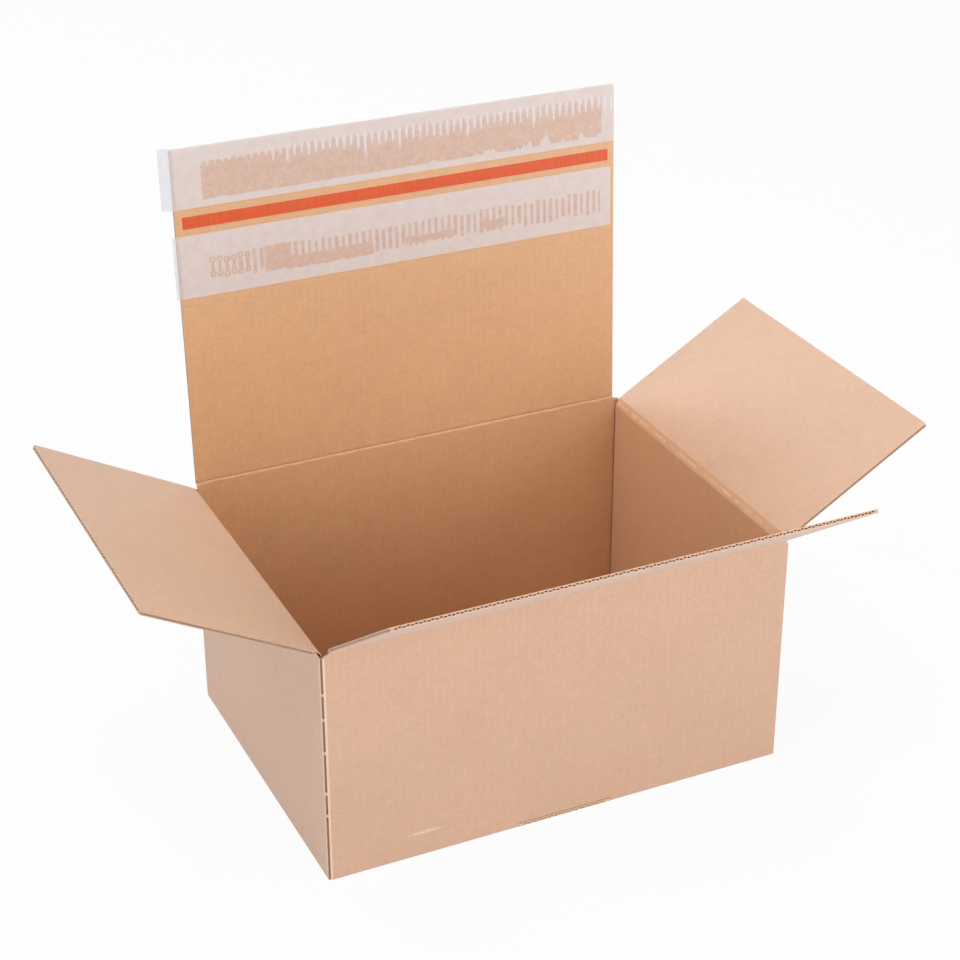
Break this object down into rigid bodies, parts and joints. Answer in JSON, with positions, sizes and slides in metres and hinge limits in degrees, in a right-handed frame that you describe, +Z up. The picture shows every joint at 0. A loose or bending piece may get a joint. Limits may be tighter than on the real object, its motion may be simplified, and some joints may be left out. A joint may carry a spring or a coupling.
{
  "type": "open shipping carton",
  "caption": "Open corrugated shipping carton with crash-lock bottom, folding top flaps, adhesive closure strips and a tear strip.",
  "frame": {"origin": "centre of the underside of the carton, on the surface it stands on", "axes": "+X along the length, to the right as seen from the front; +Y from the front wall to the back wall that carries the lid; +Z up"},
  "size_m": [0.3554, 0.2271, 0.269],
  "materials": {
    "kraft_board": "uncoated brown kraft liner on E-flute board",
    "release_film": "translucent siliconised film, satin",
    "hot_melt": "clear pressure-sensitive hot melt, satin",
    "tear_tape": "orange film tape, satin"
  },
  "bodies": {
    "carton": {"carton": "kraft_board"},
    "front_flap": {"front_flap": "kraft_board"},
    "left_flap": {"left_flap": "kraft_board"},
    "right_flap": {"right_flap": "kraft_board"},
    "lid": {"lid": "kraft_board", "tear_strip": "tear_tape", "closing_adhesive": "hot_melt", "return_adhesive": "hot_melt", "closing_liner": "release_film", "return_liner": "release_film"}
  },
  "joints": [
    {"name": "front_flap_fold", "type": "hinge", "parent": "carton", "child": "front_flap", "pos_m": [0, -0.0781, 0.11165], "axis": [1, 0, 0], "range_deg": [-144.5, 123.5]},
    {"name": "left_flap_fold", "type": "hinge", "parent": "carton", "child": "left_flap", "pos_m": [-0.1081, 0, 0.11], "axis": [0, -1, 0], "range_deg": [-152, 116]},
    {"name": "right_flap_fold", "type": "hinge", "parent": "carton", "child": "right_flap", "pos_m": [0.1081, 0, 0.11], "axis": [0, 1, 0], "range_deg": [-149, 119]},
    {"name": "lid_fold", "type": "hinge", "parent": "carton", "child": "lid", "pos_m": [0, 0.0781, 0.1137], "axis": [-1, 0, 0], "range_deg": [-92.6, 132.4]}
  ]
}
